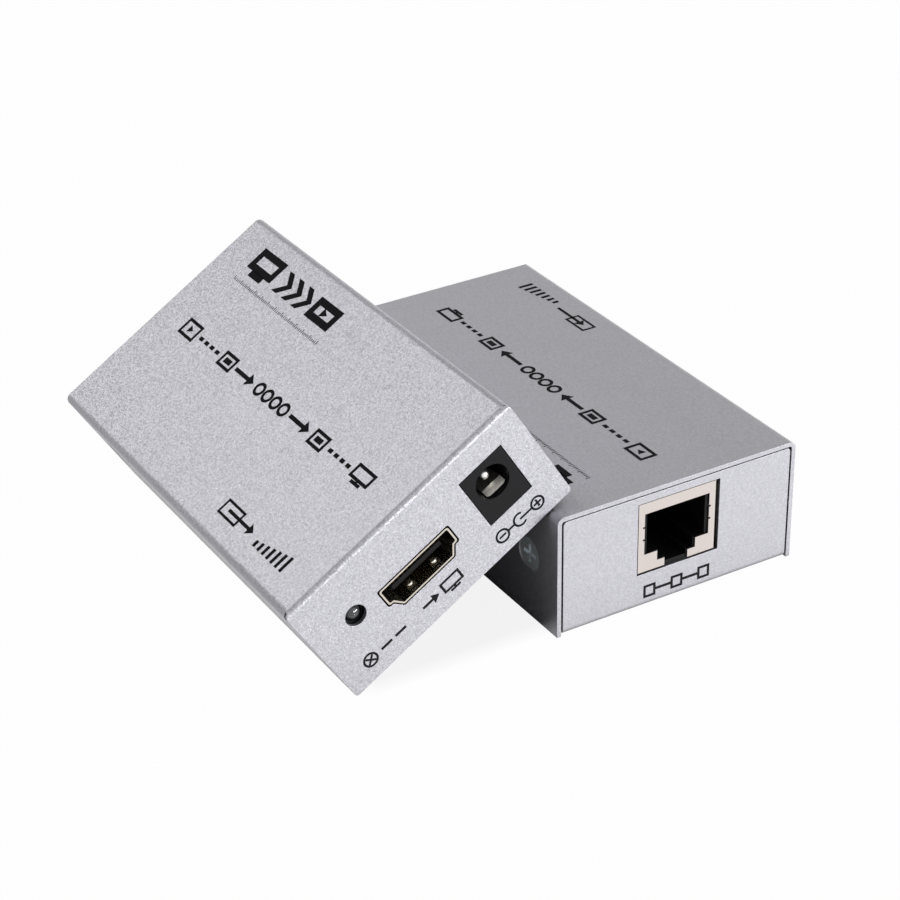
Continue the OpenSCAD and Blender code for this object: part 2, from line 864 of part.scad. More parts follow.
// Power inductor: square foot and round drum
module inductor() {
    color("dimgray") near_video(inductor_gap, inductor_share, inductor.x) {
        block([inductor[0], inductor[1], inductor[2] * foot_share]);
        cylinder(h = inductor[2], d = inductor[0]);
    }
}

// Can capacitors on square feet
module can_capacitors() {
    color("lightsteelblue") for (gap = can_gaps) near_video(gap, can_share, can_d) {
        block([can_d, can_d, can_h * foot_share]);
        cylinder(h = can_h, d = can_d);
    }
}

module crystal() {
    color("silver") near_video(crystal_gap, crystal_share, crystal.x) block(crystal);
}

module regulator() {
    color("black") near_video(regulator_gap, regulator_share, regulator.x) block(regulator);
}

// One short row of small parts that stand side by side along the board
row_l = (chips_in_row - 1) * chip_row_pitch + chip_part.y;
module part_row(size) {
    for (i = [0:chips_in_row - 1])
        translate([(i - (chips_in_row - 1) / 2) * chip_row_pitch, 0, 0]) block([size.y, size.x, size.z]);
}

module chip_capacitors() {
    color("tan")
    for (share = chip_row_shares) near_network(chip_row_gap, share, row_l) part_row(chip_part);
}

module resistors() {
    color("black") {
        for (share = resistor_row_shares) near_network(resistor_row_gap, share, row_l) part_row(resistor);
        near_video(video_row_gap, video_row_share, row_l) part_row(resistor);
    }
}

transmitter_place() cover();  // transmitter_cover
transmitter_place() base();  // transmitter_base
transmitter_place() side_screws();  // transmitter_side_screws
transmitter_place() board();  // transmitter_board
transmitter_place() standoffs();  // transmitter_standoffs
transmitter_place() board_screws();  // transmitter_board_screws
transmitter_place() video_shell();  // transmitter_video_shell
transmitter_place() video_insulator();  // transmitter_video_insulator
transmitter_place() video_contacts();  // transmitter_video_contacts
transmitter_place() power_housing();  // transmitter_power_housing
transmitter_place() power_pin();  // transmitter_power_pin
transmitter_place() power_spring();  // transmitter_power_spring
transmitter_place() power_tags();  // transmitter_power_tags
transmitter_place() network_shield();  // transmitter_network_shield
transmitter_place() network_housing();  // transmitter_network_housing
transmitter_place() network_wires();  // transmitter_network_wires
transmitter_place() network_pins();  // transmitter_network_pins
transmitter_place() lamp();  // transmitter_lamp
transmitter_place() lamp_holder();  // transmitter_lamp_holder
transmitter_place() lamp_leads();  // transmitter_lamp_leads
transmitter_place() processor();  // transmitter_processor
transmitter_place() link_chip();  // transmitter_link_chip
transmitter_place() chip_legs();  // transmitter_chip_legs
transmitter_place() transformer();  // transmitter_transformer
transmitter_place() inductor();  // transmitter_inductor
transmitter_place() can_capacitors();  // transmitter_can_capacitors
transmitter_place() crystal();  // transmitter_crystal
transmitter_place() regulator();  // transmitter_regulator
transmitter_place() chip_capacitors();  // transmitter_chip_capacitors
transmitter_place() resistors();  // transmitter_resistors
receiver_place() cover();  // receiver_cover
receiver_place() base();  // receiver_base
receiver_place() side_screws();  // receiver_side_screws
receiver_place() board();  // receiver_board
receiver_place() standoffs();  // receiver_standoffs
receiver_place() board_screws();  // receiver_board_screws
receiver_place() video_shell();  // receiver_video_shell
receiver_place() video_insulator();  // receiver_video_insulator
receiver_place() video_contacts();  // receiver_video_contacts
receiver_place() power_housing();  // receiver_power_housing
receiver_place() power_pin();  // receiver_power_pin
receiver_place() power_spring();  // receiver_power_spring
receiver_place() power_tags();  // receiver_power_tags
receiver_place() network_shield();  // receiver_network_shield
receiver_place() network_housing();  // receiver_network_housing
receiver_place() network_wires();  // receiver_network_wires
receiver_place() network_pins();  // receiver_network_pins
receiver_place() lamp();  // receiver_lamp
receiver_place() lamp_holder();  // receiver_lamp_holder
receiver_place() lamp_leads();  // receiver_lamp_leads
receiver_place() processor();  // receiver_processor
receiver_place() link_chip();  // receiver_link_chip
receiver_place() chip_legs();  // receiver_chip_legs
receiver_place() transformer();  // receiver_transformer
receiver_place() inductor();  // receiver_inductor
receiver_place() can_capacitors();  // receiver_can_capacitors
receiver_place() crystal();  // receiver_crystal
receiver_place() regulator();  // receiver_regulator
receiver_place() chip_capacitors();  // receiver_chip_capacitors
receiver_place() resistors();  // receiver_resistors
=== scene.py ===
import json
import math

import bmesh
import bpy
from mathutils import Matrix, Vector


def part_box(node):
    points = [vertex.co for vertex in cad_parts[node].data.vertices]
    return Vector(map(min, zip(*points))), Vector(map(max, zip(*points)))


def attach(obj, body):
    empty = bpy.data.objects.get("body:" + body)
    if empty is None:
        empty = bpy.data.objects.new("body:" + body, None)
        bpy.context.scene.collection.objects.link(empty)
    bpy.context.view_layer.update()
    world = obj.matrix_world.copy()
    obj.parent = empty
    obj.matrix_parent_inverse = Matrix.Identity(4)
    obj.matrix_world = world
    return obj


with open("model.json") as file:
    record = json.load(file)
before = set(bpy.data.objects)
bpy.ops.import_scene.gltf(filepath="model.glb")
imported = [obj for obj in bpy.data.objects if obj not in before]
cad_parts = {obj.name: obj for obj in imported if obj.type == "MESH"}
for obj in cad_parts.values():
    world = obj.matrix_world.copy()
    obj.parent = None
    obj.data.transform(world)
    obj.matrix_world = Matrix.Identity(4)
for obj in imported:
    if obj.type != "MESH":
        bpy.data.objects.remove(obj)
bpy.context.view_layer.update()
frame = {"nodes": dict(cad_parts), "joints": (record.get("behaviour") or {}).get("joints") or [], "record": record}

MM = 0.001
# The two units, and which way the picture goes there: 1 is in, -1 is out
UNITS = {"transmitter": 1, "receiver": -1}

# The case and the lean, read from the frame
CASE_L, CASE_W, CASE_H = ((high - low) / MM for low, high in zip(*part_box("receiver_cover")))
LEAN_AXIS = next(j for j in frame["joints"] if j["name"] == "transmitter_power_spring_hinge")["axis"]
LEAN = math.atan2(LEAN_AXIS[2], LEAN_AXIS[1])

# Camera, in millimetres and degrees
CAMERA_TARGET = (-3.73, -17.02, 11.7)
CAMERA_DISTANCE = 447.1
CAMERA_HEADING = 149.46
CAMERA_ELEVATION = 29.55
CAMERA_ROLL = -1.0
CAMERA_LENS = 99.7
CAMERA_SENSOR = 36
CAMERA_CLIP = 10

# Lamps: place in metres, width and height in metres, power in watts
LAMPS = {
    "key": ((1.2, 0.84, 0.17), (1.6, 0.34), 29.5),
    "back": ((-0.98, -0.6, 1.01), (0.75, 0.75), 5.2),
}
LAMP_TARGET = (0, -0.015, 0.015)
WORLD_STRENGTH = 0.05

# Floor: its side in metres, and how it looks by itself
FLOOR_SIZE = 6
FLOOR_COLOUR = (0.45, 0.45, 0.45)
FLOOR_ROUGHNESS = 0.9
# The share of plain white over the floor's own look, away from the boxes
FLOOR_WHITE_SHARE = 0.985
# The share of the floor's own look under the boxes: less white glow there darkens the floor as painted shade, and
# lets its real shadow show
FLOOR_SHADOW_SHARE = 0.12
# The boxes' footprint, where the floor has painted shade, and its soft edge, in metres
FOOTPRINT = ((-0.045, 0.041), (-0.06, 0.024))
FOOTPRINT_EDGE = 0.004

# Silver paint: a base with flakes that lean, and differ in tone, each in its own way; the few lightest flakes are
# painted glints
PAINT_COLOUR = (0.54, 0.535, 0.58)
PAINT_METALLIC = 0.3
PAINT_ROUGHNESS = 0.38
PAINT_ROUGHNESS_PLAY = 0.03
FLAKE_MM = 0.22
FLAKE_TILT = 0.16
FLAKE_TINT = 0.2
SPARK_MM = 0.13
SPARK_START = 0.94
SPARK_LIGHT = 0.5
CLOUD_MM = 9.0
CLOUD_TINT = 0.02
EDGE_MM = 0.12
EDGE_SAMPLES = 6
# How strong the flakes are on each unit
PAINT_CONTRASTS = {"transmitter": 1.0, "receiver": 0.5}
# Painted shade: the paint's colour darkens in narrow creases, and in the wide hollow between the boxes
CREASE = {"reach_mm": 1.5, "low": 0.75}
HOLLOW = {"reach_mm": 25.0, "low": 0.1, "shut": 0.05, "free": 0.57}
HOLLOW_SAMPLES = 8

# Metals: streaks change their tint and roughness by these shares
STREAK_DETAIL = 4.0
STREAK_TINT = 0.1
STREAK_ROUGHNESS = (0.8, 1.25)
STREAK_DEPTH_MM = 0.002
# How far painted shade reaches into metal hollows, in millimetres
METAL_HOLLOW_MM = 3.0
EVEN = (1, 1, 1)
BRUSHED = (1, 6, 6)
TURNED = (6, 6, 1)
METALS = {
    "screw_steel": {"colour": (0.82, 0.87, 0.9), "roughness": 0.42},
    "standoff_brass": {"colour": (0.7, 0.55, 0.27), "roughness": 0.3},
    "contact_gold": {"colour": (0.9, 0.68, 0.3), "roughness": 0.22, "streak_mm": 0.1},
    "tinned_metal": {"colour": (0.74, 0.74, 0.72), "roughness": 0.28},
    "spring_metal": {
        "colour": (0.94, 0.91, 0.82), "roughness": 0.34, "streak_mm": 0.15, "stretch": BRUSHED,
    },
    "dome_metal": {"colour": (0.95, 0.94, 0.86), "roughness": 0.32, "streak_mm": 0.1},
    "can_aluminium": {
        "colour": (0.8, 0.81, 0.83), "roughness": 0.25, "streak_mm": 0.3, "stretch": TURNED,
    },
    # The plated shell and shield get painted shade in their hollows, by the share given last
    "shell_plating": {
        "colour": (0.7, 0.64, 0.56), "roughness": 0.24, "streak_mm": 0.2, "stretch": BRUSHED,
        "hollow_shade_share": 0.3,
    },
    "shield_plating": {
        "colour": (0.66, 0.6, 0.57), "roughness": 0.3, "streak_mm": 0.3, "stretch": BRUSHED,
        "hollow_shade_share": 0.1,
    },
}

# Plastics: a fine grain changes their roughness, and a wide cloud their tint, by this share
GRAIN_DETAIL = 3.0
GRAIN_PLAY = 0.15
PLASTIC_CLOUD_MM = 3.0
PLASTIC_SPECULAR = 0.15
PLASTICS = {
    "black_plastic": {"colour": (0.007, 0.007, 0.008), "roughness": 0.42},
    "chip_epoxy": {"colour": (0.02, 0.02, 0.022), "roughness": 0.55},
    "ferrite": {"colour": (0.05, 0.05, 0.055), "roughness": 0.6, "grain_mm": 0.25, "depth_mm": 0.01},
    "ceramic": {"colour": (0.33, 0.2, 0.11), "roughness": 0.5},
}

# Prints, in millimetres: the ink's thickness, and where the signs on a case's top begin
INK_T = 0.02
SIGNS_LEFT = -33.9
CIRCLE_STEPS = 40
# Half the width of an arrow's head, as a share of its length
HEAD_SHARE = 0.7
# The foot of a screen, as a share of its height
FOOT_SHARE = 0.2
# A player's triangle: its size as a share of the box, and its back's distance as a share of its size
TRIANGLE_SHARE = 0.22
TRIANGLE_BACK = 0.8
# A dash, as a share of its step
DASH_SHARE = 0.6
# A scale: each tick in so many is full, and the others are this share of it
TICK_GROUP = 5
TICK_SHARE = 0.6

# Contact domes on the video shell's spring fingers, in millimetres: half their size, then their
# places from the panel, from the shell's middle, and from its floor and ceiling
DOME_SIZE = (0.6, 0.6, 0.24)
DOME_INSET = 2.0
DOME_SPACE = 2.62
DOME_RISE = 0.78
DOME_SEGMENTS = 20
DOME_RINGS = 10
# The shell's height without its legs
SHELL_H = 5.55


def transmitter_place():
    low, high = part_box("transmitter_cover")
    foot = Vector(((low.x + high.x) / 2, high.y - CASE_W * MM * math.cos(LEAN), 0))
    half = Vector((0, CASE_W * MM / 2, 0))
    return Matrix.Translation(foot) @ Matrix.Rotation(LEAN, 4, "X") @ Matrix.Translation(half)


PLACES = {"transmitter": transmitter_place(), "receiver": Matrix.Rotation(math.pi, 4, "Z")}


def add_object(name, data):
    """A new object in the scene."""
    made = bpy.data.objects.new(name, data)
    bpy.context.scene.collection.objects.link(made)
    return made


def looking(place, way):
    """The place of a camera or lamp that looks along a direction."""
    return Matrix.Translation(place) @ way.to_track_quat("-Z", "Y").to_matrix().to_4x4()


def make_camera():
    data = bpy.data.cameras.new("camera")
    data.lens = CAMERA_LENS
    data.sensor_width = CAMERA_SENSOR
    data.clip_start = CAMERA_CLIP * MM
    heading, elevation = math.radians(CAMERA_HEADING), math.radians(CAMERA_ELEVATION)
    forward = Vector((
        math.cos(heading) * math.cos(elevation),
        math.sin(heading) * math.cos(elevation),
        -math.sin(elevation),
    ))
    place = Vector(CAMERA_TARGET) * MM - forward * CAMERA_DISTANCE * MM
    roll = Matrix.Rotation(math.radians(CAMERA_ROLL), 4, "Z")
    camera = add_object("camera", data)
    camera.matrix_world = looking(place, forward) @ roll
    bpy.context.scene.camera = camera


def make_lamps():
    for name, (place, (width, height), power) in LAMPS.items():
        data = bpy.data.lights.new(name, "AREA")
        data.shape = "RECTANGLE"
        data.size = width
        data.size_y = height
        data.energy = power
        lamp = add_object(name, data)
        lamp.matrix_world = looking(place, Vector(LAMP_TARGET) - Vector(place))


def make_world():
    """A dim white world, which the camera and mirrors see at full strength."""
    world = bpy.data.worlds.new("studio")
    bpy.context.scene.world = world
    world.use_nodes = True
    tree = world.node_tree
    background = tree.nodes["Background"]
    background.inputs["Color"].default_value = (1, 1, 1, 1)
    seen = math_node(tree, "MAXIMUM", *seen_rays(tree))
    strength = math_node(tree, "MULTIPLY_ADD", seen, 1 - WORLD_STRENGTH, WORLD_STRENGTH)
    tree.links.new(strength, background.inputs["Strength"])


def make_floor():
    """A pale floor that is seen as white, with painted shade under the boxes, where some of its real shadow shows
    too.
    """
    half = FLOOR_SIZE / 2
    corners = box(-half, -half, FLOOR_SIZE, FLOOR_SIZE)
    mesh = bpy.data.meshes.new("floor")
    mesh.from_pydata([(x, y, 0) for x, y in corners], [], [(0, 1, 2, 3)])
    floor = add_object("floor", mesh)
    paint, tree, shader = material("floor_white", FLOOR_COLOUR, FLOOR_ROUGHNESS)
    under = under_boxes(tree)
    direct, mirrored = seen_rays(tree)
    # Painted shade: under the boxes the camera sees less white glow, and mirrors see none
    glows = [
        math_node(tree, "MULTIPLY", rays, spread(tree, under, FLOOR_WHITE_SHARE, share))
        for rays, share in ((direct, 1 - FLOOR_SHADOW_SHARE), (mirrored, 0.0))
    ]
    glow = tree.nodes.new("ShaderNodeEmission")
    mix = tree.nodes.new("ShaderNodeMixShader")
    tree.links.new(math_node(tree, "ADD", *glows), mix.inputs[0])
    tree.links.new(shader.outputs[0], mix.inputs[1])
    tree.links.new(glow.outputs[0], mix.inputs[2])
    tree.links.new(mix.outputs[0], tree.nodes["Material Output"].inputs["Surface"])
    mesh.materials.append(paint)


# Node helpers
def seen_rays(tree):
    """1 for rays from the camera, and 1 for rays from mirrors and through glass; both 0 for lighting."""
    path = tree.nodes.new("ShaderNodeLightPath")
    mirrored = math_node(tree, "MAXIMUM", path.outputs["Is Glossy Ray"], path.outputs["Is Transmission Ray"])
    return path.outputs["Is Camera Ray"], mirrored


def under_boxes(tree):
    """1 under the boxes and 0 away from them."""
    coordinates = tree.nodes.new("ShaderNodeTexCoord")
    split = tree.nodes.new("ShaderNodeSeparateXYZ")
    tree.links.new(coordinates.outputs["Object"], split.inputs[0])
    inside = None
    for place, (low, high) in zip(split.outputs, FOOTPRINT):
        for start, end in ((low, low + FOOTPRINT_EDGE), (high, high - FOOTPRINT_EDGE)):
            step = spread(tree, place, 0.0, 1.0, start, end)
            inside = step if inside is None else math_node(tree, "MULTIPLY", inside, step)
    return inside


def material(name, colour, roughness, metallic=0.0):
    """A new material, with its node tree and its main shader."""
    made = bpy.data.materials.new(name)
    made.use_nodes = True
    shader = made.node_tree.nodes["Principled BSDF"]
    shader.inputs["Base Color"].default_value = (*colour, 1)
    shader.inputs["Roughness"].default_value = roughness
    shader.inputs["Metallic"].default_value = metallic
    return made, made.node_tree, shader


def math_node(tree, operation, *values, kind="ShaderNodeMath"):
    """Arithmetic on plain values and other nodes' outputs."""
    node = tree.nodes.new(kind)
    node.operation = operation
    for socket, value in zip(node.inputs, values):
        if isinstance(value, bpy.types.NodeSocket):
            tree.links.new(value, socket)
        else:
            socket.default_value = value
    return node.outputs[0]


def vector_node(tree, operation, *values):
    return math_node(tree, operation, *values, kind="ShaderNodeVectorMath")


def place_of(tree, stretch=EVEN):
    """The object's own coordinates, stretched."""
    coordinates = tree.nodes.new("ShaderNodeTexCoord")
    mapping = tree.nodes.new("ShaderNodeMapping")
    mapping.inputs["Scale"].default_value = stretch
    tree.links.new(coordinates.outputs["Object"], mapping.inputs["Vector"])
    return mapping.outputs[0]


def noise(tree, size_mm, detail=2.0, stretch=EVEN):
    """Soft noise whose spots are about size_mm wide."""
    node = tree.nodes.new("ShaderNodeTexNoise")
    node.inputs["Scale"].default_value = 1 / (size_mm * MM)
    node.inputs["Detail"].default_value = detail
    tree.links.new(place_of(tree, stretch), node.inputs["Vector"])
    return node.outputs[0]


def cells(tree, size_mm):
    """The node of a pattern of cells about size_mm wide, each with a colour of its own."""
    node = tree.nodes.new("ShaderNodeTexVoronoi")
    node.inputs["Scale"].default_value = 1 / (size_mm * MM)
    tree.links.new(place_of(tree), node.inputs["Vector"])
    return node


def channel(tree, colour, index=0):
    node = tree.nodes.new("ShaderNodeSeparateColor")
    tree.links.new(colour, node.inputs[0])
    return node.outputs[index]


def spread(tree, value, low, high, old_low=0.0, old_high=1.0):
    """value moved from its old range to the one from low to high."""
    node = tree.nodes.new("ShaderNodeMapRange")
    tree.links.new(value, node.inputs["Value"])
    for name, number in (("From Min", old_low), ("From Max", old_high), ("To Min", low), ("To Max", high)):
        node.inputs[name].default_value = number
    return node.outputs[0]


def around_one(tree, value, play):
    return spread(tree, value, 1 - play, 1 + play)


def openness(tree, reach_mm, low, shut=0.25, free=0.9):
    """A share for painted shade: 1 on open faces, and down to low in corners and hollows whose openness is shut or
    less.
    """
    node = tree.nodes.new("ShaderNodeAmbientOcclusion")
    node.samples = HOLLOW_SAMPLES
    node.inputs["Distance"].default_value = reach_mm * MM
    return spread(tree, node.outputs["AO"], low, 1.0, shut, free)


def tint(tree, shader, colour, share):
    """The base colour, lightened and darkened by a value around 1."""
    scaled = vector_node(tree, "SCALE", colour)
    tree.links.new(share, scaled.node.inputs["Scale"])
    tree.links.new(scaled, shader.inputs["Base Color"])


def vary_roughness(tree, shader, value, low, high):
    tree.links.new(spread(tree, value, low, high), shader.inputs["Roughness"])


def bump(tree, shader, height, depth_mm):
    node = tree.nodes.new("ShaderNodeBump")
    node.inputs["Distance"].default_value = depth_mm * MM
    tree.links.new(height, node.inputs["Height"])
    tree.links.new(node.outputs[0], shader.inputs["Normal"])


def clear_coat(shader, weight, roughness):
    shader.inputs["Coat Weight"].default_value = weight
    shader.inputs["Coat Roughness"].default_value = roughness


def flake_normal(tree, size_mm, tilt):
    """The normal, rounded a little at edges and tilted another way on each flake, and a value per flake."""
    middle = (0.5, 0.5, 0.5)
    edges = tree.nodes.new("ShaderNodeBevel")
    edges.samples = EDGE_SAMPLES
    edges.inputs["Radius"].default_value = EDGE_MM * MM
    flakes = cells(tree, size_mm).outputs["Color"]
    lean = vector_node(tree, "SUBTRACT", flakes, middle)
    total = vector_node(tree, "MULTIPLY_ADD", lean, (tilt, tilt, tilt), edges.outputs[0])
    return vector_node(tree, "NORMALIZE", total), channel(tree, flakes)


# Materials
def silver_paint(name, contrast):
    """Silver paint with fine metal flakes, a few painted lighter as glints, and painted shade in creases and
    hollows.
    """
    made, tree, shader = material(name, PAINT_COLOUR, PAINT_ROUGHNESS, PAINT_METALLIC)
    normal, flakes = flake_normal(tree, FLAKE_MM, FLAKE_TILT * contrast)
    tree.links.new(normal, shader.inputs["Normal"])
    # Painted glints: a few flakes are painted lighter
    chances = channel(tree, cells(tree, SPARK_MM).outputs["Color"], 1)
    painted_glints = spread(tree, chances, 0.0, SPARK_LIGHT * contrast, SPARK_START, 1.0)
    cloud = spread(tree, noise(tree, CLOUD_MM), -CLOUD_TINT, CLOUD_TINT)
    total = around_one(tree, flakes, FLAKE_TINT * contrast)
    for part in (painted_glints, cloud):
        total = math_node(tree, "ADD", total, part)
    # Painted shade: the colour darkens in creases and in the hollow between the boxes
    for painted_shade in (CREASE, HOLLOW):
        total = math_node(tree, "MULTIPLY", total, openness(tree, **painted_shade))
    tint(tree, shader, PAINT_COLOUR, total)
    smooth, rough = PAINT_ROUGHNESS - PAINT_ROUGHNESS_PLAY, PAINT_ROUGHNESS + PAINT_ROUGHNESS_PLAY
    vary_roughness(tree, shader, flakes, smooth, rough)
    return made


def plain_metal(name, colour, roughness, streak_mm=0.25, stretch=EVEN, hollow_shade_share=0.0):
    """Plated or turned metal with fine streaks, with painted shade in its hollows where that is asked for."""
    made, tree, shader = material(name, colour, roughness, 1.0)
    streaks = noise(tree, streak_mm, STREAK_DETAIL, stretch)
    share = around_one(tree, streaks, STREAK_TINT)
    # Painted shade: the colour darkens in hollows
    if hollow_shade_share:
        share = math_node(tree, "MULTIPLY", share, openness(tree, METAL_HOLLOW_MM, hollow_shade_share))
    tint(tree, shader, colour, share)
    vary_roughness(tree, shader, streaks, *(roughness * part for part in STREAK_ROUGHNESS))
    bump(tree, shader, streaks, STREAK_DEPTH_MM)
    return made


def plastic(name, colour, roughness, grain_mm=0.18, depth_mm=0.006):
    """Moulded plastic with a fine spark-eroded grain."""
    made, tree, shader = material(name, colour, roughness)
    shader.inputs["Specular IOR Level"].default_value = PLASTIC_SPECULAR
    grain = noise(tree, grain_mm, GRAIN_DETAIL)
    tint(tree, shader, colour, around_one(tree, noise(tree, PLASTIC_CLOUD_MM), GRAIN_PLAY))
    vary_roughness(tree, shader, grain, roughness * (1 - GRAIN_PLAY), roughness * (1 + GRAIN_PLAY))
    bump(tree, shader, grain, depth_mm)
    return made


def board_mask():
    """Green solder mask over copper tracks."""
    colour, roughness = (0.012, 0.085, 0.03), 0.35
    track_mm, track_depth_mm = 2.4, 0.01
    track_light, mask_light = 1.7, 0.9
    track_edge, mask_edge = 0.35, 0.55
    made, tree, shader = material("board", colour, roughness)
    tracks = cells(tree, track_mm)
    tracks.distance = "MANHATTAN"
    shapes = tracks.outputs["Distance"]
    tint(tree, shader, colour, spread(tree, shapes, track_light, mask_light, track_edge, mask_edge))
    bump(tree, shader, shapes, track_depth_mm)
    clear_coat(shader, weight=0.4, roughness=0.2)
    return made


def lamp_lens():
    """Smoky clear epoxy, dark while the lamp is off."""
    colour, roughness = (0.06, 0.064, 0.066), 0.12
    cloud_mm, cloud_tint = 0.8, 0.1
    wave_mm, wave_depth_mm = 0.5, 0.002
    made, tree, shader = material("lamp_lens", colour, roughness)
    tint(tree, shader, colour, around_one(tree, noise(tree, cloud_mm), cloud_tint))
    shader.inputs["Transmission Weight"].default_value = 0.25
    shader.inputs["IOR"].default_value = 1.5
    clear_coat(shader, weight=0.6, roughness=0.05)
    bump(tree, shader, noise(tree, wave_mm), wave_depth_mm)
    return made


def print_ink():
    """Matt black screen print."""
    colour, roughness, specular = (0.012, 0.012, 0.014), 0.8, 0.08
    grain_mm, grain_depth_mm = 0.15, 0.002
    dark, light = 0.7, 1.5
    made, tree, shader = material("print_ink", colour, roughness)
    shader.inputs["Specular IOR Level"].default_value = specular
    grain = noise(tree, grain_mm, GRAIN_DETAIL)
    tint(tree, shader, colour, spread(tree, grain, dark, light))
    bump(tree, shader, grain, grain_depth_mm)
    return made


MATERIALS = {
    **{name: plain_metal(name, **look) for name, look in METALS.items()},
    **{name: plastic(name, **look) for name, look in PLASTICS.items()},
    "board": board_mask(),
    "lamp_lens": lamp_lens(),
}
PAINTS = {unit: silver_paint(f"{unit}_paint", contrast) for unit, contrast in PAINT_CONTRASTS.items()}
INK = print_ink()


def dress_nodes():
    """Each CAD node gets the material of its slot."""
    slots = {part["node"]: part["material_slot"] for part in frame["record"]["subparts"]}
    for name, node in frame["nodes"].items():
        slot = slots[name]
        dress = PAINTS[name.split("_")[0]] if slot == "silver_paint" else MATERIALS[slot]
        for index in range(len(node.data.materials)):
            node.data.materials[index] = dress


# Outlines of the prints, across and up a face as it is read: from a top's middle, or from the middle
# of a panel's lower edge
def box(left, low, width, height):
    return [(left, low), (left + width, low), (left + width, low + height), (left, low + height)]


def arc(x, y, r, start, sweep, steps):
    """Points along an arc, with its angles in degrees."""
    turns = [math.radians(start + sweep * i / steps) for i in range(steps + 1)]
    return [(x + r * math.cos(a), y + r * math.sin(a)) for a in turns]


def circle(x, y, r):
    return arc(x, y, r, 0, 360, CIRCLE_STEPS)[:-1]


# Shapes of the prints: filled, or as a line between two outlines
def filled(points):
    return ("filled", points)


def outlined(outer, inner):
    return ("outlined", outer, inner)


def bar(left, low, width, height):
    return filled(box(left, low, width, height))


def frame_of(left, low, width, height, line):
    """A rectangle drawn as a line of even width."""
    inner = box(left + line, low + line, width - 2 * line, height - 2 * line)
    return outlined(box(left, low, width, height), inner)


def ring(x, y, r, line):
    return outlined(circle(x, y, r), circle(x, y, r - line))


def arrow(left, y, length, line, head, way=1):
    """An arrow that fills a stretch of the first axis, and points along it or back."""
    half, wing = line / 2, head * HEAD_SHARE
    start, tip = (left, left + length)[::way]
    neck = tip - way * head
    points = [
        (start, y - half), (neck, y - half), (neck, y - wing),
        (tip, y),
        (neck, y + wing), (neck, y + half), (start, y + half),
    ]
    return filled(points[::way])


def chevron(x, y, height, line, way):
    """An angle bracket whose point looks along the first axis, or back."""
    half = height / 2
    points = [
        (x, y - half), (x + way * line, y - half), (x + way * (line + half), y),
        (x + way * line, y + half), (x, y + half), (x + way * half, y),
    ]
    return filled(points[::way])


def cross_mark(x, y, r, line, turn):
    """A plus sign, turned by an angle in degrees."""
    h = line / 2
    points = [
        (r, -h), (r, h), (h, h), (h, r), (-h, r), (-h, h),
        (-r, h), (-r, -h), (-h, -h), (-h, -r), (h, -r), (h, -h),
    ]
    c, s = math.cos(math.radians(turn)), math.sin(math.radians(turn))
    return filled([(x + c * u - s * v, y + s * u + c * v) for u, v in points])


# Small signs made of those shapes
def screen(left, low, width, height, line):
    """A screen on its foot."""
    foot = height * FOOT_SHARE
    middle = left + width / 2
    return [
        frame_of(left, low + foot, width, height - foot, line),
        bar(middle - line / 2, low + line, line, foot - line),
        bar(middle - width / 4, low, width / 2, line),
    ]


def player(left, low, width, height, line):
    """A box with a triangle that points to the right."""
    x, y = left + width / 2, low + height / 2
    r = height * TRIANGLE_SHARE
    back = x - r * TRIANGLE_BACK
    return [frame_of(left, low, width, height, line), filled([(back, y - r), (x + r, y), (back, y + r)])]


def plug(left, low, width, height, line):
    """A plug seen from its end: a frame round a solid core."""
    core_inset, core_h = 1.2, 1.1
    core = bar(left + core_inset, low + (height - core_h) / 2, width - 2 * core_inset, core_h)
    return [frame_of(left, low, width, height, line), core]


def dashes(left, right, y, line, count):
    """A dashed line, whose dashes stand in the middle of equal steps."""
    step = (right - left) / count
    dash = step * DASH_SHARE
    gap = step - dash
    return [bar(left + step * i + gap / 2, y - line / 2, dash, line) for i in range(count)]


def ticks(left, right, low, height, line, count):
    """A fine scale, with the first tick of each group full and the others lower."""
    step = (right - left) / count
    heights = [height * (TICK_SHARE if i % TICK_GROUP else 1) for i in range(count + 1)]
    return [bar(left + step * i, low, line, tick_h) for i, tick_h in enumerate(heights)]


# The prints, each in its place on a face. They stand in for the lettering of the product.
def bold_mark(way):
    """A screen, a player box and bold chevrons between them."""
    low, height, line = 14.3, 6.0, 1.45
    screen_w = 8.6
    player_left, player_w, player_inset = -11.6, 7.9, 0.7
    chevron_step, chevron_h, chevron_line, chevron_count = 3.6, 4.8, 1.7, 3
    chevron_left = -23.6 if way > 0 else -19.2
    shapes = screen(SIGNS_LEFT, low, screen_w, height, line)
    shapes += player(player_left, low + player_inset, player_w, height - 2 * player_inset, line)
    places = [chevron_left + chevron_step * i for i in range(chevron_count)]
    return shapes + [chevron(x, low + height / 2, chevron_h, chevron_line, way) for x in places]


def fine_scale():
    """A scale where the product has a line of fine print."""
    return ticks(left=-34.0, right=-3.2, low=12.2, height=0.9, line=0.16, count=60)


def chain_line():
    """A line of small signs: player box, cable, plug, a chain between arrows, plug, cable and screen."""
    low, height, line = -1.6, 3.6, 0.62
    middle = low + height / 2
    player_w = 5.2
    screen_left, screen_w = 28.0, 5.6
    cable, cable_ends, dash_count = 0.8, ((-28.0, -19.8), (19.6, 27.4)), 4
    plug_lefts, plug_w, plug_inset = (-19.0, 14.2), 4.6, 0.2
    arrow_lefts, arrow_l, head = (-13.6, 6.4), 6.6, 1.9
    link_left, link_step, link_r, link_count = -4.6, 2.9, 1.4, 4
    shapes = player(SIGNS_LEFT, low, player_w, height, line)
    shapes += screen(screen_left, low, screen_w, height, line)
    for left, right in cable_ends:
        shapes += dashes(left, right, middle, cable, dash_count)
    for left in plug_lefts:
        shapes += plug(left, low + plug_inset, plug_w, height - 2 * plug_inset, line)
    shapes += [arrow(left, middle, arrow_l, cable, head) for left in arrow_lefts]
    return shapes + [ring(link_left + link_step * i, middle, link_r, line) for i in range(link_count)]


